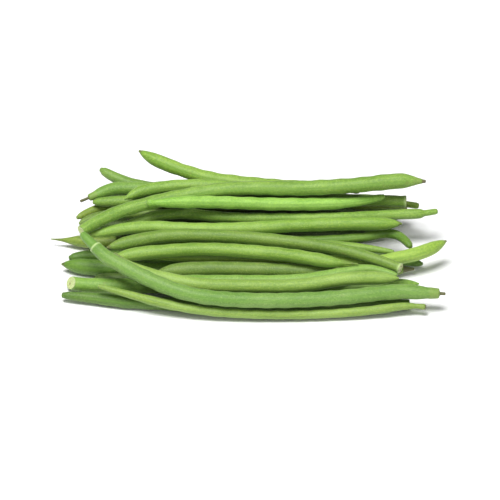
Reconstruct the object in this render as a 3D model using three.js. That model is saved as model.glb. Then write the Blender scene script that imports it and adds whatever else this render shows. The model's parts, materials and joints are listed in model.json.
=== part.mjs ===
// Green beans lying together as a loose bundle, in millimetres.
// The pods run along X, the surface that they lie on is z = 0, and +Z is up.
import * as THREE from "three";

// Driving dimensions
const CLEARANCE = 0.35;
const SIGHT_ANGLE = THREE.MathUtils.degToRad(32.4);
const SECTION_SIDES = 10;
const SECTION_FLATNESS = 0.94;
const RING_STEP = 13;
const SAMPLE_STEP = 3;
const FOOT_DEPTH = 0.4;
const END_ROUNDING = 0.45;

// Settling
const SETTLE_ROUNDS = 260;
const CLEARING_ROUNDS = 400;
const DROP_STEP = 0.14;
const SPRING_BACK = 0.94;

// A showing pod is drawn on a plane square to a slanting line of sight, and settles along that line.
// A buried pod is drawn in plan, and settles straight down. Either may also give way a little aside.
const SIGHT = {
  right: new THREE.Vector3(1, 0, 0),
  up: new THREE.Vector3(0, Math.sin(SIGHT_ANGLE), Math.cos(SIGHT_ANGLE)),
  slide: new THREE.Vector3(0, Math.cos(SIGHT_ANGLE), -Math.sin(SIGHT_ANGLE)),
  give: 0.03,
};
const PLAN = {
  right: new THREE.Vector3(1, 0, 0),
  up: new THREE.Vector3(0, 1, 0),
  slide: new THREE.Vector3(0, 0, -1),
  give: 0.25,
};
const DOWN = new THREE.Vector3(0, 0, -1);

// The ways a pod moves as it settles, along its length from -1 to 1, and how easily: it shifts, tilts,
// bows and bends in an S.
const WAYS = [
  { shape: () => 1, ease: 1 },
  { shape: (u) => u, ease: 1.2 },
  { shape: (u) => u * u - 1 / 3, ease: 0.25 },
  { shape: (u) => u * u * u - 0.6 * u, ease: 0.1 },
];

// Ends of a pod: distance from the tip, and thickness there as a share of the body's.
const ENDS = {
  // a stub of stalk, the collar of the calyx and the neck below it
  stalk: [[0, 0.2], [4, 0.19], [4.7, 0.46], [6.6, 0.52], [11, 0.8], [17, 0.95], [25, 1]],
  // a collar with little neck that narrows to a stub of stalk
  stub: [[0, 0.2], [1.6, 0.27], [3.6, 0.4], [7, 0.73], [11, 0.96], [16, 1]],
  // a short stalk on a broad collar
  broad_collar: [[0, 0.2], [2.2, 0.22], [2.8, 0.6], [8, 0.74], [13, 0.93], [18, 1]],
  // the collar alone, where the stalk has come away
  collar: [[0, 0.54], [1.2, 0.58], [2.8, 0.5], [9, 0.8], [20, 1]],
  // an open end that widens evenly
  open: [[0, 0.5], [2, 0.6], [9, 0.74], [16, 0.88], [28, 1]],
  // a thick neck that is broken off
  neck: [[0, 0.5], [0.9, 0.57], [5.5, 0.6], [7.8, 0.9], [14, 1]],
  // sliced straight across
  cut: [[0, 0.82], [0.8, 0.87], [10, 0.93], [22, 1]],
  // the thin beak at the far end of the pod
  beak: [[0, 0.13], [5, 0.24], [10, 0.42], [20, 0.78], [34, 1]],
  // a full end that thins out to a tail
  tail: [[0, 0.1], [4, 0.2], [8.3, 0.48], [13, 0.86], [19, 1]],
  // a full end that comes to a point
  pointed: [[0, 0.16], [1.5, 0.36], [4, 0.64], [8, 0.9], [14, 1]],
  // a far end whose beak has come away
  tapered: [[0, 0.4], [2, 0.52], [12, 0.74], [30, 1]],
  blunt: [[0, 0.4], [1.5, 0.68], [5, 0.86], [14, 1]],
  // a rounded end that curls within a finger's width
  curled: [[0, 0.5], [1.5, 0.75], [4, 0.85], [7, 0.9], [10, 0.95], [14, 1]],
};

const SKINS = {
  fresh: 0x7fb350,
  pale: 0x93c264,
  lime: 0xa0c35a,
  deep: 0x5a8f3c,
  olive: 0x7b9847,
};

// Each row: name, skin, thickness at the left and the right, left and right end, the height of the
// middle before it settles, and the route of the middle line from left to right.
const PODS = [
  buried("pod_floor_back", "deep", [7.0, 6.8], ["collar", "beak"], { height: 4 },
    [[-58, 45], [-20, 46], [24, 45.5], [62, 44]]),
  buried("pod_floor_rear", "deep", [7.4, 7.0], ["beak", "collar"], { height: 4 },
    [[-66, 38], [-22, 38.5], [26, 37.5], [68, 38]]),
  buried("pod_floor_rear_inner", "fresh", [7.4, 7.2], ["collar", "beak"], { height: 4 },
    [[-73, 30], [-25, 30.5], [28, 29.8], [65, 31]]),
  buried("pod_floor_middle_rear", "fresh", [7.2, 7.4], ["blunt", "stalk"], { height: 4 },
    [[-74, 23], [-20, 22.5], [30, 22], [66, 22.5]]),
  showing("pod_long_tail", "olive", [6.6, 7.0], ["tail", "collar"], { height: 3.6, slope: 0 },
    [[-92, 12.5], [-85.5, 12], [-78, 11.5], [-66.5, 11], [-41.5, 11], [0, 10.7], [44, 10.7]]),
  buried("pod_floor_middle", "deep", [7.0, 7.2], ["collar", "beak"], { height: 4 },
    [[-70, 7], [-20, 7], [25, 6.8], [68, 5]]),
  showing("pod_left_low_rear", "deep", [6.0, 4.4], ["blunt", "blunt"], { height: 3, slope: 0 },
    [[-83, 3.7], [-71.5, 4.9], [-46, 3.8], [-4.5, 2.5], [37, 2.5], [71.5, 2], [79, 1]]),
  showing("pod_left_low_middle", "deep", [8.2, 7.0], ["pointed", "stub"], { height: 3.8, slope: 0 },
    [[-86.5, 0.5], [-78, -0.4], [-66.5, -1.4], [-32, -1.8], [14, -2], [55, -2], [75, -1.5]]),
  buried("pod_floor_front_inner", "fresh", [6.6, 7.0], ["blunt", "collar"], { height: 4 },
    [[-71, -14], [-15, -15.5], [30, -16], [66, -17]]),
  showing("pod_left_low_front", "pale", [7.6, 6.4], ["cut", "pointed"], { height: 3.8, slope: 0 },
    [[-85.5, -6.8], [-80.5, -7.8], [-73.5, -8.7], [-60, -8.8], [-23, -9.5],
      [23, -10], [60, -10], [69, -8.5], [77, -8]]),
  showing("pod_front_low", "deep", [7.0, 6.0], ["tapered", "cut"], { height: 3.4, slope: 0 },
    [[-85.5, -13.2], [-73.5, -14.3], [-55, -16], [-23, -17.5], [23, -17.5], [50.5, -17.5], [72.5, -17.5]]),
  showing("pod_front_slim", "lime", [4.6, 4.4], ["tapered", "collar"], { height: 3.5, slope: 23 },
    [[-69, -9], [-60, -11.5], [-50.5, -14], [-39, -17], [-18.5, -20.5],
      [18.5, -22], [50.5, -20.5], [72.5, -18], [79.5, -18.5]]),

  buried("pod_inner_back", "fresh", [6.8, 7.0], ["blunt", "collar"], { height: 10.5 },
    [[-67, 41.5], [-46, 42], [-15, 42.5], [25, 42], [58, 41]]),
  buried("pod_inner_rear", "fresh", [7.2, 7.4], ["beak", "collar"], { height: 10.5 },
    [[-60, 34], [-15, 34.5], [25, 34], [72, 34]]),
  buried("pod_inner_rear_middle", "deep", [7.0, 7.2], ["collar", "beak"], { height: 10.5 },
    [[-56, 26.5], [-15, 27], [25, 26.5], [68, 27]]),
  showing("pod_left_sliver", "fresh", [4.8, 5.8], ["blunt", "collar"], { height: 11.5, slope: 12 },
    [[-78.5, 19.5], [-71.5, 22.5], [-60, 24], [-40, 23.8], [-10, 22], [20, 21], [44, 20.5]]),
  buried("pod_inner_middle", "deep", [7.0, 7.2], ["collar", "beak"], { height: 10.8 },
    [[-62, 12.5], [-20, 12.5], [25, 12.5], [64, 13]]),
  showing("pod_hooked", "deep", [5.2, 4.7], ["collar", "curled"], { height: 10.7, slope: 5 },
    [[-57, 12.5], [0, 12], [32, 12], [53, 13.5], [62, 15], [67, 14.5], [71, 12], [73.5, 9]]),
  showing("pod_behind_broad", "fresh", [5.6, 5.0], ["collar", "tapered"], { height: 11, slope: 6 },
    [[-50, 10], [9, 10], [37, 9.5], [55, 8], [65.5, 6.5]]),
  showing("pod_lime", "lime", [6.0, 6.9], ["beak", "pointed"], { height: 10.8, slope: 8 },
    [[-56, 4.5], [-32, 4.5], [0, 4], [32, 2.5], [55, 1.5], [69, 4], [80.5, 7], [90, 11.5]]),
  showing("pod_second_low", "fresh", [7.4, 6.8], ["pointed", "beak"], { height: 10.5, slope: 10 },
    [[-43, -3], [-34, -2], [-24, -1.3], [-4.5, -1.2], [18.5, -2], [41.5, -3], [62, -3.5]]),
  showing("pod_under_broad", "pale", [6.0, 6.0], ["collar", "tapered"], { height: 10, slope: 16 },
    [[-44, -6.5], [-32, -6.5], [10, -6.5], [23, -6], [39, -3.5], [53, -1], [60, -2], [66.5, -3.8]]),

  buried("pod_inner_upper", "deep", [5.4, 5.6], ["collar", "beak"], { height: 16.5 },
    [[-48, 21], [-10, 21.5], [25, 21.5], [54, 22]]),
  showing("pod_olive", "olive", [4.4, 5.4], ["blunt", "neck"], { height: 14, slope: 12 },
    [[-80, 21.5], [-71.5, 25.5], [-62, 27], [-32, 26.5], [14, 26.5], [55, 27.5], [69, 28], [77.5, 27]]),
  showing("pod_rear_cut", "fresh", [5.4, 6.2], ["blunt", "cut"], { height: 18.5, slope: 12 },
    [[-72.5, 29.5], [-55, 30], [-23, 29.5], [14, 30], [46, 30.5], [72, 30]]),
  showing("pod_left_upper_slim", "fresh", [5.8, 5.2], ["blunt", "tapered"], { height: 15.5, slope: 40 },
    [[-69.5, 44.5], [-64, 41.3], [-56, 38], [-44, 35.8], [-23, 34], [4.5, 33], [35, 32]]),
  showing("pod_left_upper_broad", "pale", [6.9, 6.6], ["stalk", "beak"], { height: 18, slope: 12 },
    [[-78.5, 30], [-72.5, 32.5], [-64.5, 35.5], [-55, 36], [-41.5, 35.5], [-14, 35], [20, 35], [44, 35.5]]),
  showing("pod_left_upper_pointed", "fresh", [6.2, 6.4], ["pointed", "collar"], { height: 22, slope: 16 },
    [[-58, 31], [-50.5, 34.5], [-39, 36.5], [-25.5, 37.5], [-9, 36.5], [23, 35.5], [50, 35.2]]),
  showing("pod_middle_rear", "fresh", [5.6, 5.2], ["tapered", "neck"], { height: 18, slope: 15 },
    [[-70, 14.5], [-62, 17], [-55, 19.2], [-46, 22.3], [-38, 24], [-28, 24], [-11.5, 22.4], [18.5, 22],
      [46, 22.5], [69, 23.8], [79, 24.2], [86, 25.2]]),
  showing("pod_middle", "fresh", [6.0, 6.9], ["collar", "pointed"], { height: 17.5, slope: 12 },
    [[-76.5, 14], [-64.5, 16], [-50.5, 18], [-23, 17], [0, 17.5], [18.5, 18.5], [46, 19.5], [69.5, 19.5]]),
  showing("pod_broad", "fresh", [6.8, 5.6], ["pointed", "cut"], { height: 17.5, slope: 14 },
    [[-65.5, 8.5], [-53, 11.5], [-37, 14], [-18.5, 14], [0, 13],
      [27.5, 10], [46, 6.5], [62, 1.5], [68.5, -1]]),
  showing("pod_below_broad", "fresh", [6.8, 6.8], ["pointed", "tail"], { height: 16.5, slope: 14 },
    [[-64, 2.8], [-56, 4.8], [-48, 5.9], [-23, 7.5], [0, 6.4], [23, 4], [33, 2.2], [40, 1.2], [49, 0.6]]),

  showing("pod_raised_tail", "fresh", [6.8, 6.8], ["pointed", "collar"], { height: 20, slope: 38 },
    [[-51.5, 53.2], [-46, 50], [-32, 44.3], [-18.5, 40.5], [4.5, 37.5], [32, 36], [48, 36.5], [62, 37.5]]),
  showing("pod_upper_middle", "pale", [6.4, 6.4], ["collar", "tapered"], { height: 26, slope: 15 },
    [[-47, 29], [-23, 29.5], [14, 28.5], [41.5, 29], [54.5, 30.5], [61.5, 32]]),
  showing("pod_long_rear", "fresh", [6.4, 8.1], ["cut", "stub"], { height: 27.5, slope: 16 },
    [[-77.5, 16], [-69, 21], [-60, 25], [-46, 29], [-27.5, 33],
      [-9, 35.5], [27.5, 36], [55, 37.8], [69, 39.2], [80.5, 39]]),
  showing("pod_front_second", "lime", [6.6, 6.8], ["beak", "pointed"], { height: 10, slope: 18 },
    [[-62, 6], [-55, 1.2], [-41.5, -4.6], [-23, -8.3], [0, -9], [23, -8.7], [46, -5.5], [67.5, -5.5]]),
  showing("pod_front_long", "pale", [7.4, 7.6], ["open", "broad_collar"], { height: 10, slope: 20 },
    [[-76.5, 14.5], [-72, 10], [-64.5, 3.5], [-55, -1.5], [-39, -9],
      [-23, -13.5], [4.5, -15.5], [37, -14.5], [69, -11.5],
      [78, -12], [88.5, -12.5]]),
];

// A showing pod's route rises with the slope of the heap that it lies on.
function showing(name, skin, widths, ends, { height, slope }, route) {
  const steepness = Math.tan(THREE.MathUtils.degToRad(slope));
  const lean = (SIGHT.up.z - steepness * SIGHT.up.y) / (SIGHT.up.y + steepness * SIGHT.up.z);
  return { name, skin, widths, ends, height, lean, route, plane: SIGHT };
}

function buried(name, skin, widths, ends, { height }, route) {
  return { name, skin, widths, ends, height, lean: 0, route, plane: PLAN };
}

// Share of the body's thickness at a distance from one end.
function endShare(profile, distance) {
  for (let i = 1; i < profile.length; i += 1) {
    const [start, startShare] = profile[i - 1];
    const [end, endValue] = profile[i];
    if (distance <= end) {
      return THREE.MathUtils.mapLinear(distance, start, end, startShare, endValue);
    }
  }
  return 1;
}

function radiusAt(pod, distance, length) {
  const width = THREE.MathUtils.lerp(...pod.widths, distance / length);
  const [left, right] = pod.ends;
  return (width / 2) * endShare(ENDS[left], distance) * endShare(ENDS[right], length - distance);
}

// The middle line of a pod at its starting height, as evenly spaced samples.
function drawPod(pod) {
  const { right, up, slide } = pod.plane;
  const points = pod.route.map(([across, along]) => {
    const point = new THREE.Vector3().addScaledVector(right, across).addScaledVector(up, along);
    return point.addScaledVector(slide, pod.lean * along);
  });
  const curve = new THREE.CatmullRomCurve3(points, false, "centripetal");
  const length = curve.getLength();
  const count = Math.ceil(length / SAMPLE_STEP);
  const drop = (curve.getPointAt(0.5).z - pod.height) / -slide.z;
  const samples = curve.getSpacedPoints(count).map((point, i) => {
    const distance = (length * i) / count;
    return {
      home: point.addScaledVector(slide, drop),
      point: point.clone(),
      distance,
      radius: radiusAt(pod, distance, length),
      moves: WAYS.map(({ shape }) => shape((2 * i) / count - 1)),
    };
  });
  const slides = WAYS.map(() => 0);
  const gives = WAYS.map(() => 0);
  return { samples, slides, gives, plane: pod.plane };
}

function placeSamples(line) {
  for (const { home, point, moves } of line.samples) {
    const slid = moves.reduce((sum, move, i) => sum + move * line.slides[i], 0);
    const given = moves.reduce((sum, move, i) => sum + move * line.gives[i], 0);
    point.copy(home).addScaledVector(line.plane.slide, slid).addScaledVector(line.plane.up, given);
  }
}

// How readily a pod gives way to a push in one direction at one place.
function yielding(line, moves, push) {
  const slideShare = push.dot(line.plane.slide) ** 2;
  const giveShare = line.plane.give * push.dot(line.plane.up) ** 2;
  const ease = moves.reduce((sum, move, i) => sum + move * move * WAYS[i].ease, 0);
  return ease * (slideShare + giveShare);
}

function movePod(line, moves, push, amount) {
  const slideShare = push.dot(line.plane.slide) * amount;
  const giveShare = push.dot(line.plane.up) * amount * line.plane.give;
  moves.forEach((move, i) => {
    line.slides[i] += slideShare * move * WAYS[i].ease;
    line.gives[i] += giveShare * move * WAYS[i].ease;
  });
}

// The place where two pods come closest to or cut deepest into each other's clearance.
function deepestMeeting(first, second) {
  let worst = { overlap: 0 };
  const start = second.samples[0].point.x;
  const end = second.samples.at(-1).point.x;
  const count = second.samples.length - 1;
  for (const near of first.samples) {
    const guess = Math.round((count * (near.point.x - start)) / (end - start));
    for (let i = Math.max(guess - 3, 0); i < Math.min(guess + 3, count); i += 1) {
      const [from, to] = [second.samples[i], second.samples[i + 1]];
      const reach = near.radius + Math.max(from.radius, to.radius) + CLEARANCE;
      if (Math.abs(near.point.z - from.point.z) > reach + SAMPLE_STEP
        || Math.abs(near.point.y - from.point.y) > reach + SAMPLE_STEP) {
        continue;
      }
      const span = to.point.clone().sub(from.point);
      const apart = near.point.clone().sub(from.point);
      const part = THREE.MathUtils.clamp(apart.dot(span) / span.lengthSq(), 0, 1);
      apart.addScaledVector(span, -part);
      const radius = THREE.MathUtils.lerp(from.radius, to.radius, part);
      const overlap = near.radius + radius + CLEARANCE - apart.length();
      if (overlap > worst.overlap) {
        const moves = from.moves.map((move, k) => THREE.MathUtils.lerp(move, to.moves[k], part));
        worst = { overlap, push: apart.normalize(), nearMoves: near.moves, farMoves: moves };
      }
    }
  }
  return worst;
}

function partPods(first, second) {
  const { overlap, push, nearMoves, farMoves } = deepestMeeting(first, second);
  if (overlap > 0) {
    const ease = yielding(first, nearMoves, push) + yielding(second, farMoves, push);
    const amount = Math.min(overlap / (ease + 0.05), overlap * 2);
    movePod(first, nearMoves, push, amount);
    movePod(second, farMoves, push, -amount);
    placeSamples(first);
    placeSamples(second);
  }
  return overlap;
}

function liftToSurface(line) {
  const lowest = line.samples.reduce((a, b) => (b.point.z - b.radius < a.point.z - a.radius ? b : a));
  const depth = lowest.radius - lowest.point.z;
  if (depth > 0) {
    const push = DOWN.clone().negate();
    movePod(line, lowest.moves, push, depth / (yielding(line, lowest.moves, push) + 0.01));
    placeSamples(line);
  }
}

// Lets all the pods sink into the heap together, then clears what still touches.
function settle(lines) {
  for (let round = 0; round < SETTLE_ROUNDS + CLEARING_ROUNDS; round += 1) {
    const drop = DROP_STEP * Math.max(0, 1 - round / SETTLE_ROUNDS);
    if (drop > 0) {
      for (const line of lines) {
        line.slides[0] += drop;
        line.gives = line.gives.map((given) => given * SPRING_BACK);
        placeSamples(line);
      }
    }
    let worst = 0;
    lines.forEach((line, i) => {
      lines.slice(i + 1).forEach((other) => {
        worst = Math.max(worst, partPods(line, other));
      });
      liftToSurface(line);
    });
    if (drop === 0 && worst < CLEARANCE / 10) {
      break;
    }
  }
}

// Distances along a pod that get a ring: each step of both ends, and even steps between them.
function ringDistances(pod, length) {
  const left = ENDS[pod.ends[0]].map(([distance]) => distance);
  const right = ENDS[pod.ends[1]].map(([distance]) => length - distance).reverse();
  const start = left.at(-1);
  const span = right[0] - start;
  const steps = Math.ceil(span / RING_STEP);
  const between = Array.from({ length: steps - 1 }, (_, i) => start + (span * (i + 1)) / steps);
  return [...left, ...between, ...right];
}

// The rings' places on the settled middle line, each with its direction and thickness.
function ringStations(pod, line) {
  const curve = new THREE.CatmullRomCurve3(line.samples.map(({ point }) => point));
  const length = line.samples.at(-1).distance;
  return ringDistances(pod, length).map((distance) => ({
    centre: curve.getPoint(distance / length),
    direction: curve.getTangent(distance / length),
    radius: radiusAt(pod, distance, length),
  }));
}

// Oval ring of corners; its long axis, where the pod's two seams run, lies level.
function ringCorners({ centre, direction, radius }) {
  const level = new THREE.Vector3().crossVectors(direction, DOWN).normalize();
  const upright = new THREE.Vector3().crossVectors(direction, level).normalize();
  return Array.from({ length: SECTION_SIDES }, (_, i) => {
    const angle = (2 * Math.PI * i) / SECTION_SIDES;
    return centre.clone()
      .addScaledVector(level, radius * Math.cos(angle))
      .addScaledVector(upright, radius * SECTION_FLATNESS * Math.sin(angle));
  });
}

function tipPoint(station, kind, sense) {
  const rounding = kind === "cut" ? 0 : END_ROUNDING * station.radius;
  return station.centre.clone().addScaledVector(station.direction, sense * rounding);
}

// The closed skin of a pod: a tip, its rings and the other tip, flattened where it meets the surface.
function skinPod(pod, line) {
  const stations = ringStations(pod, line);
  const corners = [
    tipPoint(stations[0], pod.ends[0], -1),
    ...stations.flatMap(ringCorners),
    tipPoint(stations.at(-1), pod.ends[1], 1),
  ];
  for (const corner of corners) {
    if (corner.z < FOOT_DEPTH) {
      corner.z = 0;
    }
  }
  const faces = [];
  const last = corners.length - 1;
  const corner = (ring, side) => 1 + ring * SECTION_SIDES + (side % SECTION_SIDES);
  for (let side = 0; side < SECTION_SIDES; side += 1) {
    faces.push(0, corner(0, side + 1), corner(0, side));
    for (let ring = 1; ring < stations.length; ring += 1) {
      const [a, b] = [corner(ring - 1, side), corner(ring - 1, side + 1)];
      const [c, d] = [corner(ring, side + 1), corner(ring, side)];
      faces.push(a, b, c, a, c, d);
    }
    faces.push(last, corner(stations.length - 1, side), corner(stations.length - 1, side + 1));
  }
  return { corners, faces };
}

function podMesh(pod, line) {
  const { corners, faces } = skinPod(pod, line);
  const middle = new THREE.Box3().setFromPoints(corners).getCenter(new THREE.Vector3());
  const places = corners.flatMap((corner) => corner.clone().sub(middle).toArray());
  const geometry = new THREE.BufferGeometry();
  geometry.setAttribute("position", new THREE.Float32BufferAttribute(places, 3));
  geometry.setIndex(faces);
  geometry.computeVertexNormals();
  const material = new THREE.MeshStandardMaterial({ color: SKINS[pod.skin], roughness: 0.5, metalness: 0 });
  const mesh = new THREE.Mesh(geometry, material);
  mesh.name = pod.name;
  mesh.position.copy(middle);
  return mesh;
}

function buildBundle() {
  const bundle = new THREE.Group();
  const lines = PODS.map(drawPod);
  settle(lines);
  PODS.forEach((pod, i) => bundle.add(podMesh(pod, lines[i])));
  const centre = new THREE.Box3().setFromObject(bundle).getCenter(new THREE.Vector3());
  for (const mesh of bundle.children) {
    mesh.position.x -= centre.x;
    mesh.position.y -= centre.y;
  }
  return bundle;
}

export default buildBundle();
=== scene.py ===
import json
import math

import bpy
import numpy as np
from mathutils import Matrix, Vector


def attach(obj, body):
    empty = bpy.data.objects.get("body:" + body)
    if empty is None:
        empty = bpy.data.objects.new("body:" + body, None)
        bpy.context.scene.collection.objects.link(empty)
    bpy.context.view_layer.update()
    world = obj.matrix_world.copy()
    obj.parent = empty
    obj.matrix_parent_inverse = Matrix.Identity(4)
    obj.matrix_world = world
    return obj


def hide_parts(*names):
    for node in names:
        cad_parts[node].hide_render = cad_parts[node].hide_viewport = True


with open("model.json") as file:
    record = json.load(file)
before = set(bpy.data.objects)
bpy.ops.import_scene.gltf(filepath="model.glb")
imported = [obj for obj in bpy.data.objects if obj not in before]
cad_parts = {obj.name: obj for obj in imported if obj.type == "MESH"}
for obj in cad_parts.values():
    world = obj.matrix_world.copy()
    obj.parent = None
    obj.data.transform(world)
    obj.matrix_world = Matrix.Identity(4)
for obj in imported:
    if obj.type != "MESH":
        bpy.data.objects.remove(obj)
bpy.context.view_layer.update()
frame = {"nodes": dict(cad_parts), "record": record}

MM = 0.001
SEED = 41

# Camera
VIEW_ELEVATION = math.radians(32.4)
VIEW_DISTANCE = 3.0
VIEW_WIDTH = 230 * MM
AIM = Vector((0.75 * MM, -0.3 * MM, 7.6 * MM))
SENSOR = 36.0
FARTHEST_SEEN = 50.0

# Place, side and power of each softbox, and the strength of the even light all round
SOFTBOXES = {
    "softbox_above": ((-0.2, -0.3, 1.15), 0.6, 19.5),
    "softbox_front": ((0.4, -1.2, 0.8), 0.8, 4.0),
}
WHITE = (1, 1, 1, 1)
EVEN_LIGHT = 0.2
FLOOR_HALF = 3.0
FLOOR_COLOR = (0.93, 0.93, 0.935, 1)
FLOOR_ROUGHNESS = 0.75

# Rings and sides of a pod's fine grid, with closer rings near the ends and closer sides at the seams
SIDES = 44
RING_STEP = 0.8 * MM
END_RING_STEP = 0.3 * MM
FINE_REACH = 12 * MM
SEAM_CROWDING = 0.3
SEAM_TURN = 0.6
SAME_PLACE = 0.01 * MM

# Section of a pod: a little flat, with a shallow groove along both seams
SECTION_FLATNESS = 0.94
SEAM_HALF_WIDTH = 0.16
SEAM_DEPTH = 0.07 * MM
SEAM_START = (5, 14)

# Swelling over the seeds and waists between them. Places along a pod are in millimetres from here on.
SEED_MARGIN = 15.0
FIRST_SEED = (0, 5)
SEED_PITCH = (8.5, 11.0)
SEED_REACH = (4.2, 5.6)
SEED_START = (8, 22)
WAIST_DEPTH = (0.045, 0.085)

# Slow waves in the thickness, as shares of it
WAVES = 3
WAVE_HEIGHT = (0.004, 0.01)
WAVE_LENGTH = (18, 50)
MEAN_THICKNESS = 0.988

# Rings that close a full end, as angles of a dome, and a cut one, as shares of its radius and dish
DOME = np.radians([22, 45, 66, 82, 90])
CUT_SHARES = np.array([0.97, 0.88, 0.66, 0.36, 0.0])
CUT_DISH = np.array([0.0, 0.03, 0.21, 0.27, 0.3]) * MM
CUT_ENDS = ("cut", "slice", "lip")

# Slanting cut: how far it runs back, over what length of pod, and the way it faces
SLICE_DEPTH = 7.5 * MM
SLICE_REACH = 13.0
SLICE_FACING = np.array([0.0, -0.8, 0.6])

# Cap: a narrower end that the wider pod below it steps out from, with a pale rim
CAP_LENGTH = 9.0
CAP_STEP = 0.4
CAP_WIDTH = 0.92
CAP_RIM = 0.08
CAP_RIM_REACH = 5.0
CAP_LINE = 0.5

# Lip: a cut end that flares above a slight neck
LIP_RISE = 0.08
LIP_REACH = 1.1
LIP_NECK = 0.05
LIP_NECK_PLACE = 3.0
LIP_NECK_REACH = 1.3
LIP_LINE = 0.9

# Calyx: how far from the tip the leafy collar begins and ends on each kind of end, and its teeth
CALYX = {
    "stalk": (4.2, 6.8), "stub": (1.5, 4.6), "dry_stub": (5.0, 7.5), "short_stub": (2.4, 6.4),
    "collar": (0.0, 2.6),
}
CALYX_RISE = 0.14 * MM
CALYX_TEETH = 5
TOOTH_LENGTH = 1.1
TOOTH_BLUR = 0.35
CALYX_BLUR = 0.3
STUB_BLUR = 0.4

# Dry tip: how brown each kind of end is, and between what distances this fades out
DRY_TIPS = {
    "beak": (0.8, 2.0, 12.0), "tail": (0.55, 2.0, 12.0), "point": (0.75, 0.4, 2.8),
    "blunt": (0.35, 0.0, 1.4), "neck": (0.35, 0.0, 1.4), "cut": (0.25, 0.0, 1.4),
}
DRY_TIPS.update({kind: (0.5, 0.0, 1.4) for kind in CALYX})

# The left and the right end of each pod, how light it is and how yellow. The lightness is partly the
# pod's own tone and partly painted shade: pods lying low or deep in the heap, or in the shade of
# others, are painted darker.
PODS = {
    # Floor and inner pods have low lightness: painted shade for the shade they lie in under the pods
    # above
    "floor_back": ("collar", "beak", 0.7, 0.0),
    "floor_rear": ("beak", "collar", 0.68, 0.0),
    "floor_rear_inner": ("collar", "beak", 0.62, 0.0),
    "floor_middle_rear": ("blunt", "stalk", 0.72, 0.0),
    "long_tail": ("tail", "collar", 0.95, 0.3),
    "floor_middle": ("collar", "beak", 0.68, 0.0),
    "left_low_rear": ("blunt", "blunt", 0.85, 0.0),
    "left_low_middle": ("point", "dry_stub", 0.92, 0.0),
    "floor_front_inner": ("blunt", "collar", 0.72, 0.0),
    "left_low_front": ("slice", "blunt", 0.93, 0.1),
    "front_low": ("blunt", "cut", 0.82, -0.1),
    "front_slim": ("blunt", "collar", 0.9, 0.0),
    "inner_back": ("blunt", "collar", 0.85, 0.0),
    "inner_rear": ("beak", "collar", 0.8, 0.0),
    "inner_rear_middle": ("collar", "beak", 0.6, 0.0),
    "left_sliver": ("blunt", "collar", 0.8, 0.2),
    "inner_middle": ("collar", "beak", 0.58, 0.0),
    "hooked": ("collar", "blunt", 0.93, 0.2),
    "behind_broad": ("collar", "blunt", 0.95, 0.1),
    "lime": ("beak", "point", 1.05, 0.1),
    "second_low": ("point", "beak", 0.8, 0.25),
    "under_broad": ("collar", "blunt", 0.93, 0.1),
    "inner_upper": ("collar", "beak", 0.5, 0.0),
    "olive": ("blunt", "neck", 0.95, 0.3),
    "rear_cut": ("blunt", "lip", 0.95, 0.0),
    "left_upper_slim": ("blunt", "blunt", 0.9, -0.1),
    "left_upper_broad": ("stalk", "beak", 0.9, 0.0),
    "left_upper_pointed": ("blunt", "collar", 1.0, 0.0),
    "middle_rear": ("blunt", "neck", 0.98, 0.0),
    "middle": ("collar", "point", 1.0, 0.15),
    "broad": ("point", "lip", 0.88, 0.2),
    "below_broad": ("blunt", "tail", 0.97, 0.2),
    "raised_tail": ("point", "collar", 1.0, 0.2),
    "upper_middle": ("blunt", "blunt", 1.08, 0.0),
    "long_rear": ("cut", "stub", 0.97, 0.0),
    "front_second": ("beak", "blunt", 0.94, -0.1),
    "front_long": ("cap", "short_stub", 0.86, -0.2),
}

# Greens of each skin: a light tone and a dark one, as sRGB
SKINS = {
    "fresh": ((129, 166, 67), (102, 144, 37)),
    "pale": ((133, 175, 75), (109, 157, 49)),
    "lime": ((145, 177, 77), (124, 159, 55)),
    "deep": ((103, 145, 42), (80, 126, 24)),
    "olive": ((123, 151, 55), (98, 131, 33)),
}
YELLOWER = (12, 2, -14)
POD_SPREAD = 4
CHANNEL_SPREAD = 4 / 3

# Colours of the details, as sRGB
SEAM = (108, 150, 62)
PORE_LIGHT, PORE_DARK = (190, 214, 138), (76, 116, 32)
BLOTCH = (124, 128, 66)
CAP, RIM = (100, 144, 50), (186, 208, 142)
CALYX_GREEN, CALYX_EDGE = (112, 146, 58), (142, 154, 80)
STUB, TIP = (92, 92, 54), (92, 84, 54)
FLESH, FLESH_RING, FLESH_BROWN = (198, 212, 144), (176, 192, 118), (116, 98, 56)

# Patterns on a pod: scale per millimetre, detail, and scale along the pod as a share of that across
PATTERNS = {
    "patches": (0.09, 3, 0.45),
    "streaks": (1.3, 3, 0.06),
    "mottle": (1.3, 4, 0.7),
    "pores": (3.2, 3, 0.7),
    "blotches": (0.2, 3, 1),
    "calyx": (1.8, 3, 1),
    "dryness": (0.9, 3, 1),
    "flesh": (2.2, 4, 1),
    "browning": (0.7, 2, 1),
}
PATTERN_SHIFT = (90, 90, 900)

# Tones of the skin: pattern, where in it the tone starts and is full, and how much it covers at
# most, then which green it is, how light against the pod and how much yellower
TONES = (
    ("streaks", 0.45, 0.7, 0.4, "bright", 1.06, 0.3),
    ("streaks", 0.5, 0.3, 0.35, "dark", 0.92, 0.0),
    ("mottle", 0.5, 0.66, 0.3, "bright", 1.1, 0.9),
    ("mottle", 0.5, 0.34, 0.3, "dark", 0.85, 0.0),
)
MARK_COVER = {"seam": 0.4, "cap": 0.6, "rim": 0.8, "calyx": 0.55}

# Two bounds in the pattern of each other detail, and what the detail is worth at both
SPANS = {
    "patches": (0.34, 0.66, 0, 1),
    "light_pores": (0.54, 0.68, 0, 0.28),
    "dark_pores": (0.46, 0.32, 0, 0.28),
    "blotches": (0.68, 0.76, 0, 0.4),
    "calyx": (0.35, 0.65, 0, 1),
    "dryness": (0.3, 0.7, 0.6, 1.3),
    "tip": (0.15, 1.0, 0, 0.85),
    "flesh": (0.38, 0.62, 0, 1),
    "browning": (0.56, 0.64, 0, 0.8),
    "roughness": (0.3, 0.7, 0.5, 0.66),
}

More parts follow.
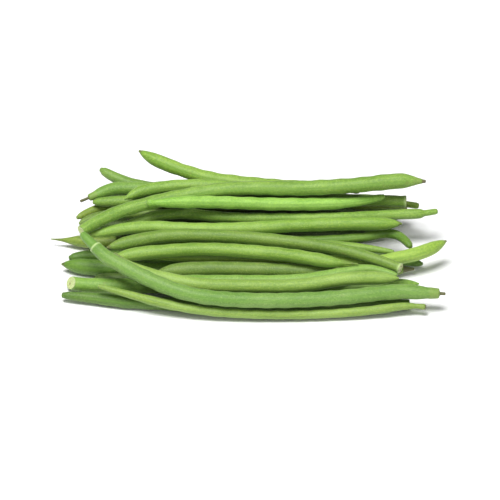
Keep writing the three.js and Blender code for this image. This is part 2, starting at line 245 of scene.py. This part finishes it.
SKIN_FINISH = {
    "Specular IOR Level": 0.45,
    "Sheen Weight": 0.15,
    "Sheen Roughness": 0.5,
    "Subsurface Weight": 0.1,
    "Subsurface Radius": (0.6, 1.0, 0.25),
    "Subsurface Scale": 1.2 * MM,
}
RELIEF_SHARE = 0.5
RELIEF_STRENGTH = 0.4
RELIEF_HEIGHT = 0.06 * MM


def linear(color):
    """A colour in 0 to 255 sRGB as linear red, green, blue and alpha."""
    channels = [c / 255 for c in color]
    return [c / 12.92 if c <= 0.04045 else ((c + 0.055) / 1.055) ** 2.4 for c in channels] + [1.0]


def add_object(name, data):
    thing = bpy.data.objects.new(name, data)
    bpy.context.scene.collection.objects.link(thing)
    return thing


# Curves along a line of numbers

def smoothstep(low, high, value):
    """From 0 below one value to 1 above another."""
    t = np.clip((value - low) / (high - low), 0, 1)
    return t * t * (3 - 2 * t)


def fade(low, high, value):
    """From 1 below one value to 0 above another."""
    return 1 - smoothstep(low, high, value)


def ridge(place, reach, value):
    """A soft ridge of height 1 at one place."""
    return np.exp(-(((value - place) / reach) ** 2))


def away_from_ends(start, full, along, length):
    """From 0 near both ends of a pod to 1 along the rest of it."""
    return smoothstep(start, full, np.minimum(along, length - along))


def hermite(knots, values, slopes, at):
    """Values on the smooth curve that has the given slopes at its knots."""
    i = np.clip(np.searchsorted(knots, at, side="right") - 1, 0, len(knots) - 2)
    span = knots[i + 1] - knots[i]
    t = (at - knots[i]) / span
    if values.ndim > 1:
        t, span = t[:, None], span[:, None]
    start = (1 + 2 * t) * (1 - t) ** 2 * values[i] + t * (1 - t) ** 2 * span * slopes[i]
    end = t ** 2 * (3 - 2 * t) * values[i + 1] + t ** 2 * (t - 1) * span * slopes[i + 1]
    return start + end


def monotone_slopes(knots, values):
    """Slopes that keep a thickness from overshooting between two rings."""
    step = np.diff(values) / np.diff(knots)
    before, after = step[:-1], step[1:]
    same_way = before * after > 0
    slopes = np.zeros(len(values))
    slopes[1:-1][same_way] = (2 * before * after)[same_way] / (before + after)[same_way]
    return slopes


# Reading a pod's rings from its solid

def merged(mesh):
    """The mesh's distinct places and, for each, the ones that it shares an edge with."""
    places = np.array([v.co for v in mesh.vertices])
    keys = np.round(places / SAME_PLACE).astype(int)
    _, first, index = np.unique(keys, axis=0, return_index=True, return_inverse=True)
    index = index.ravel()
    neighbours = [set() for _ in first]
    for edge in mesh.edges:
        a, b = index[edge.vertices[0]], index[edge.vertices[1]]
        if a != b:
            neighbours[a].add(b)
            neighbours[b].add(a)
    return places[first], neighbours


def read_rings(mesh):
    """Centres and radii of a pod's rings from its left tip to its right one, and both tips."""
    places, neighbours = merged(mesh)
    tips = sorted(range(len(places)), key=lambda i: -len(neighbours[i]))[:2]
    start, end = sorted(tips, key=lambda i: places[i][0])
    seen = {start}
    layer = {start}
    rings = []
    while True:
        layer = set().union(*(neighbours[i] for i in layer)) - seen
        seen |= layer
        if not layer or end in layer:
            break
        rings.append(places[sorted(layer)])
    centres = np.array([(ring.min(0) + ring.max(0)) / 2 for ring in rings])
    radii = np.array([np.linalg.norm(ring - c, axis=1).max() for ring, c in zip(rings, centres)])
    return centres, radii, places[start], places[end]


# One fine pod

def seed_swelling(along, length, rng):
    """From 0 between two seeds to 1 over a seed."""
    swelling = np.zeros_like(along)
    place = SEED_MARGIN + rng.uniform(*FIRST_SEED)
    while place < length - SEED_MARGIN:
        near = np.clip(np.abs(along - place) / rng.uniform(*SEED_REACH), 0, 1)
        swelling = np.maximum(swelling, 0.5 + 0.5 * np.cos(np.pi * near))
        place += rng.uniform(*SEED_PITCH)
    return 1 - (1 - swelling) * away_from_ends(*SEED_START, along, length)


def end_rings(kind, tip, centre):
    """Shares of the end ring's radius, and distances beyond it, that close one end."""
    beyond = np.linalg.norm(tip - centre)
    if kind in CUT_ENDS:
        return CUT_SHARES, beyond - CUT_DISH
    return np.cos(DOME), np.sin(DOME) * beyond


def pod_stations(mesh, ends, rng):
    """A pod's middle line, way, radius and seeds at every ring of its fine grid."""
    centres, radii, left_tip, right_tip = read_rings(mesh)
    knots = np.concatenate([[0], np.cumsum(np.linalg.norm(np.diff(centres, axis=0), axis=1))])
    length = knots[-1]
    fine = np.linspace(0, FINE_REACH, round(FINE_REACH / END_RING_STEP), endpoint=False)
    middle = np.linspace(FINE_REACH, length - FINE_REACH, int((length - 2 * FINE_REACH) / RING_STEP))
    at = np.concatenate([fine, middle, length - fine[::-1]])
    line = hermite(knots, centres, np.gradient(centres, knots, axis=0), at)
    radius = hermite(knots, radii, monotone_slopes(knots, radii), at)
    swelling = seed_swelling(at / MM, length / MM, rng)
    way = np.gradient(line, at, axis=0)
    way /= np.linalg.norm(way, axis=1)[:, None]
    left_share, left_out = end_rings(ends[0], left_tip, centres[0])
    right_share, right_out = end_rings(ends[1], right_tip, centres[-1])
    before = line[0] - left_out[::-1, None] * way[0]
    after = line[-1] + right_out[:, None] * way[-1]
    count = len(left_share)
    return {
        "ends": ends,
        "closing": count,
        "length": length / MM,
        "along": np.concatenate([-left_out[::-1], at, length + right_out]) / MM,
        "line": np.concatenate([before, line, after]),
        "way": np.concatenate([np.repeat(way[:1], count, 0), way, np.repeat(way[-1:], count, 0)]),
        "radius": np.concatenate([radius[0] * left_share[::-1], radius, radius[-1] * right_share]),
        "swelling": np.concatenate([np.ones(count), swelling, np.ones(count)]),
    }


def each_end(stations):
    """Each end's kind, every ring's distance from it, the rings that close it, and 1 or -1 inwards."""
    closing = np.arange(len(stations["along"])) < stations["closing"]
    left, right = stations["ends"]
    yield left, stations["along"], closing, 1
    yield right, stations["length"] - stations["along"], closing[::-1], -1


def side_angles(rng):
    """Angles round the pod, closer together at its two seams, and how near each is to a seam."""
    seam_place = rng.uniform(-SEAM_TURN, SEAM_TURN)
    turn = np.linspace(0, 2 * np.pi, SIDES, endpoint=False)
    angle = seam_place + turn - SEAM_CROWDING * np.sin(2 * turn)
    from_seam = np.abs((angle - seam_place + np.pi / 2) % np.pi - np.pi / 2)
    return angle, from_seam


def end_marks(stations, angle):
    """How far each place on the grid is cut flesh, stub, calyx, dry tip, cap or pale rim."""
    shape = (len(stations["along"]), SIDES)
    marks = {name: np.zeros(shape) for name in ("flesh", "stub", "calyx", "tip", "cap", "rim")}
    for kind, from_end, closing, _ in each_end(stations):
        from_end = from_end[:, None]
        face = closing[:, None] & (kind in CUT_ENDS)
        marks["flesh"] += face
        if kind in DRY_TIPS:
            dryness, full, none = DRY_TIPS[kind]
            marks["tip"] += dryness * fade(full, none, from_end) * ~face
        if kind in CALYX:
            start, stop = CALYX[kind]
            edge = stop + TOOTH_LENGTH * np.abs(np.cos(CALYX_TEETH / 2 * angle))
            marks["stub"] += fade(start - STUB_BLUR, start + CALYX_BLUR, from_end)
            collar = smoothstep(start - CALYX_BLUR, start + CALYX_BLUR, from_end)
            marks["calyx"] += collar * fade(edge - TOOTH_BLUR, edge + TOOTH_BLUR, from_end)
        elif kind == "lip":
            marks["rim"] += ridge(0, LIP_LINE, from_end) * ~face
        elif kind == "cap":
            marks["cap"] += fade(CAP_LENGTH - CAP_STEP, CAP_LENGTH, from_end)
            marks["rim"] += ridge(CAP_LENGTH + CAP_LINE, CAP_LINE, from_end)
    return {name: np.clip(mark, 0, 1) for name, mark in marks.items()}


def end_share(stations):
    """Share of the thickness where an end steps out below its cap or flares at its lip."""
    share = np.ones(len(stations["along"]))
    for kind, from_end, _, _ in each_end(stations):
        if kind == "cap":
            step = smoothstep(CAP_LENGTH - CAP_STEP, CAP_LENGTH, from_end)
            below = 1 + CAP_RIM * np.exp(-np.maximum(from_end - CAP_LENGTH, 0) / CAP_RIM_REACH)
            share *= CAP_WIDTH + (below - CAP_WIDTH) * step
        elif kind == "lip":
            share += LIP_RISE * ridge(0, LIP_REACH, from_end)
            share -= LIP_NECK * ridge(LIP_NECK_PLACE, LIP_NECK_REACH, from_end)
    return share


def wave(along, rng):
    height, length = rng.uniform(*WAVE_HEIGHT), rng.uniform(*WAVE_LENGTH)
    return height * np.sin(2 * np.pi * (along / length + rng.uniform()))


def grid_radius(stations, from_seam, marks, rng):
    """Distance of each place on the grid from the middle line, and how deep it is in a seam."""
    along = stations["along"]
    body = away_from_ends(*SEAM_START, along, stations["length"])
    seam = ridge(0, SEAM_HALF_WIDTH, from_seam) * body[:, None]
    side = 0.5 + 0.5 * np.sin(from_seam) ** 2
    waist = rng.uniform(*WAIST_DEPTH) * (1 - stations["swelling"])
    uneven = body * sum(wave(along, rng) for _ in range(WAVES))
    full = stations["radius"] * (MEAN_THICKNESS + uneven) * end_share(stations)
    radius = full[:, None] * (1 - waist[:, None] * side)
    radius += CALYX_RISE * marks["calyx"] - SEAM_DEPTH * seam
    return np.maximum(radius, 0), seam


def pod_surface(stations, angle, radius):
    """Places of the pod's fine grid, rings by sides, and the same pod laid straight."""
    way = stations["way"]
    along = stations["along"]
    level = np.cross(way, (0.0, 0.0, -1.0))
    level /= np.linalg.norm(level, axis=1)[:, None]
    upright = np.cross(way, level)
    across = np.cos(angle)[None, :, None]
    up = SECTION_FLATNESS * np.sin(angle)[None, :, None]
    outward = level[:, None] * across + upright[:, None] * up
    places = stations["line"][:, None] + outward * radius[:, :, None]
    for kind, from_end, _, inward in each_end(stations):
        if kind == "slice":
            facing = (outward @ SLICE_FACING) * np.minimum(radius / stations["radius"].max(), 1)
            back = SLICE_DEPTH * fade(0, SLICE_REACH, from_end)[:, None] * (0.5 + 0.5 * facing)
            places += inward * way[:, None] * back[:, :, None]
    places[:, :, 2] = np.maximum(places[:, :, 2], 0)
    rows = np.repeat(along[:, None], SIDES, 1)
    straight = np.stack([radius / MM * np.cos(angle), radius / MM * np.sin(angle), rows], axis=2)
    return places, straight


def mesh_values(grid):
    """A grid's values in the order of its mesh's points, with one for each end ring."""
    return np.concatenate([grid[:1, 0], grid[1:-1].reshape(-1, *grid.shape[2:]), grid[-1:, 0]])


def grid_mesh(name, places):
    """A closed mesh over the grid, which has each end ring as one point."""
    rings, sides = places.shape[:2]
    inner = (rings - 2) * sides
    number = np.clip(np.arange(rings * sides) - sides + 1, 0, inner + 1).reshape(rings, sides)
    beside = np.roll(number, -1, axis=1)
    quads = np.stack([number[:-1], beside[:-1], beside[1:], number[1:]], axis=2).reshape(-1, 4)
    faces = [[c for i, c in enumerate(quad) if c != quad[i - 1]] for quad in quads.tolist()]
    mesh = bpy.data.meshes.new(name)
    mesh.from_pydata(mesh_values(places).tolist(), [], faces)
    mesh.polygons.foreach_set("use_smooth", [True] * len(mesh.polygons))
    return mesh


def store(mesh, name, grid):
    """Keep a grid of numbers or of vectors on the points of its mesh."""
    values = mesh_values(grid).astype(np.float32)
    kind, key = ("FLOAT_VECTOR", "vector") if values.ndim > 1 else ("FLOAT", "value")
    mesh.attributes.new(name, kind, "POINT").data.foreach_set(key, values.ravel())


# Material of a pod

class Nodes:
    """Short calls for building one material's nodes."""

    def __init__(self, name):
        self.material = bpy.data.materials.new(name)
        self.material.use_nodes = True
        self.tree = self.material.node_tree
        self.shader = self.tree.nodes["Principled BSDF"]

    def add(self, kind, inputs=(), **settings):
        node = self.tree.nodes.new(kind)
        for key, value in settings.items():
            setattr(node, key, value)
        for socket, value in dict(inputs).items():
            self.put(node.inputs[socket], value)
        return node

    def put(self, socket, value):
        if isinstance(value, bpy.types.NodeSocket):
            self.tree.links.new(value, socket)
        else:
            socket.default_value = value

    def attribute(self, name, output="Fac"):
        return self.add("ShaderNodeAttribute", attribute_name=name).outputs[output]

    def noise(self, vector, scale, detail, lengthwise):
        stretched = {"Vector": vector, "Scale": (1, 1, lengthwise)}
        mapped = self.add("ShaderNodeMapping", stretched).outputs["Vector"]
        inputs = {"Vector": mapped, "Scale": scale, "Detail": detail}
        return self.add("ShaderNodeTexNoise", inputs).outputs["Fac"]

    def span(self, value, low, high, start, end):
        inputs = {"Value": value, "From Min": low, "From Max": high, "To Min": start, "To Max": end}
        node = self.add("ShaderNodeMapRange", inputs, interpolation_type="SMOOTHSTEP")
        return node.outputs["Result"]

    def mix(self, amount, first, second):
        """A mix of two colours, whose sockets come after those for numbers and for vectors."""
        return self.add("ShaderNodeMix", {0: amount, 6: first, 7: second}, data_type="RGBA").outputs[2]

    def math(self, operation, first, second):
        return self.add("ShaderNodeMath", {0: first, 1: second}, operation=operation).outputs[0]


def varied(color, rng, light, yellow):
    """A colour made lighter or darker and yellower, with a small change of its own; the darkening of
    pods that lie deep in the heap is painted shade.
    """
    shift = rng.uniform(-POD_SPREAD, POD_SPREAD)
    tinted = [(c + yellow * y) * light + shift for c, y in zip(color, YELLOWER)]
    return linear([min(max(c + rng.uniform(-CHANNEL_SPREAD, CHANNEL_SPREAD), 0), 255) for c in tinted])


def skin_color(n, pattern, skin, light, yellow, rng):
    """Green skin with patches, streaks, mottling, pores, seams and a few brownish blotches."""
    greens = dict(zip(("bright", "dark"), SKINS[skin]))
    dark = varied(greens["dark"], rng, light, yellow)
    bright = varied(greens["bright"], rng, light, yellow)
    color = n.mix(n.span(pattern["patches"], *SPANS["patches"]), dark, bright)
    for name, start, full, cover, green, lighter, yellower in TONES:
        tone = varied(greens[green], rng, light * lighter, yellow + yellower)
        color = n.mix(n.span(pattern[name], start, full, 0, cover), color, tone)
    color = n.mix(n.span(pattern["pores"], *SPANS["light_pores"]), color, linear(PORE_LIGHT))
    color = n.mix(n.span(pattern["pores"], *SPANS["dark_pores"]), color, linear(PORE_DARK))
    color = n.mix(n.math("MULTIPLY", n.attribute("seam"), MARK_COVER["seam"]), color, linear(SEAM))
    return n.mix(n.span(pattern["blotches"], *SPANS["blotches"]), color, linear(BLOTCH))


def end_color(n, pattern, color):
    """The skin's colour with the cap, calyx, stub, dry tips and cut flesh of the ends over it."""
    calyx_edge = n.span(pattern["calyx"], *SPANS["calyx"])
    calyx = n.mix(calyx_edge, linear(CALYX_GREEN), linear(CALYX_EDGE))
    for mark, tone in (("cap", linear(CAP)), ("rim", linear(RIM)), ("calyx", calyx)):
        color = n.mix(n.math("MULTIPLY", n.attribute(mark), MARK_COVER[mark]), color, tone)
    color = n.mix(n.attribute("stub"), color, linear(STUB))
    dryness = n.span(pattern["dryness"], *SPANS["dryness"])
    dry_tip = n.math("MULTIPLY", n.attribute("tip"), dryness)
    color = n.mix(n.span(dry_tip, *SPANS["tip"]), color, linear(TIP))
    flesh = n.mix(n.span(pattern["flesh"], *SPANS["flesh"]), linear(FLESH_RING), linear(FLESH))
    flesh = n.mix(n.span(pattern["browning"], *SPANS["browning"]), flesh, linear(FLESH_BROWN))
    return n.mix(n.attribute("flesh"), color, flesh)


def pod_material(name, skin, light, yellow, rng):
    n = Nodes(name)
    shift = [rng.uniform(0, reach) for reach in PATTERN_SHIFT]
    moved = {0: n.attribute("straight", "Vector"), 1: shift}
    place = n.add("ShaderNodeVectorMath", moved, operation="ADD").outputs["Vector"]
    pattern = {key: n.noise(place, *settings) for key, settings in PATTERNS.items()}
    color = end_color(n, pattern, skin_color(n, pattern, skin, light, yellow, rng))
    streaks, pores = (n.math("MULTIPLY", pattern[key], RELIEF_SHARE) for key in ("streaks", "pores"))
    height = n.math("ADD", streaks, pores)
    relief = {"Height": height, "Strength": RELIEF_STRENGTH, "Distance": RELIEF_HEIGHT}
    n.put(n.shader.inputs["Base Color"], color)
    n.put(n.shader.inputs["Roughness"], n.span(pattern["pores"], *SPANS["roughness"]))
    n.put(n.shader.inputs["Normal"], n.add("ShaderNodeBump", relief).outputs["Normal"])
    for socket, value in SKIN_FINISH.items():
        n.put(n.shader.inputs[socket], value)
    return n.material


def make_pod(node, skin, number):
    rng = np.random.default_rng(SEED + number)
    pod = node.removeprefix("pod_")
    left, right, light, yellow = PODS[pod]
    stations = pod_stations(frame["nodes"][node].data, (left, right), rng)
    angle, from_seam = side_angles(rng)
    marks = end_marks(stations, angle)
    radius, seam = grid_radius(stations, from_seam, marks, rng)
    places, straight = pod_surface(stations, angle, radius)
    name = "bean_" + pod
    mesh = grid_mesh(name, places)
    for key, grid in {"straight": straight, "seam": seam, **marks}.items():
        store(mesh, key, grid)
    mesh.materials.append(pod_material(name, skin, light, yellow, rng))
    bean = add_object(name, mesh)
    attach(bean, "root")
    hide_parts(node)


# Stage, light and camera

def make_floor():
    corners = [(x * FLOOR_HALF, y * FLOOR_HALF, 0) for x, y in ((-1, -1), (1, -1), (1, 1), (-1, 1))]
    mesh = bpy.data.meshes.new("floor")
    mesh.from_pydata(corners, [], [(0, 1, 2, 3)])
    n = Nodes("floor")
    n.put(n.shader.inputs["Base Color"], FLOOR_COLOR)
    n.put(n.shader.inputs["Roughness"], FLOOR_ROUGHNESS)
    mesh.materials.append(n.material)
    add_object("floor", mesh)


def make_light():
    world = bpy.data.worlds.new("studio")
    world.use_nodes = True
    background = world.node_tree.nodes["Background"]
    background.inputs["Color"].default_value = WHITE
    background.inputs["Strength"].default_value = EVEN_LIGHT
    bpy.context.scene.world = world
    for name, (place, size, power) in SOFTBOXES.items():
        light = bpy.data.lights.new(name, "AREA")
        light.shape = "SQUARE"
        light.size = size
        light.energy = power
        lamp = add_object(name, light)
        lamp.location = place
        lamp.rotation_euler = (AIM - Vector(place)).to_track_quat("-Z", "Y").to_euler()


def make_camera():
    camera = bpy.data.cameras.new("camera")
    camera.sensor_width = SENSOR
    camera.lens = SENSOR * VIEW_DISTANCE / VIEW_WIDTH
    camera.clip_end = FARTHEST_SEEN
    rig = add_object("camera", camera)
    towards = Vector((0, -math.cos(VIEW_ELEVATION), math.sin(VIEW_ELEVATION)))
    rig.location = AIM + towards * VIEW_DISTANCE
    rig.rotation_euler = (-towards).to_track_quat("-Z", "Y").to_euler()
    bpy.context.scene.camera = rig
    bpy.context.scene.view_settings.view_transform = "Standard"


make_camera()
make_light()
make_floor()
skins = {part["node"]: part["material_slot"] for part in frame["record"]["subparts"]}
for number, node in enumerate(sorted(frame["nodes"])):
    make_pod(node, skins[node], number)
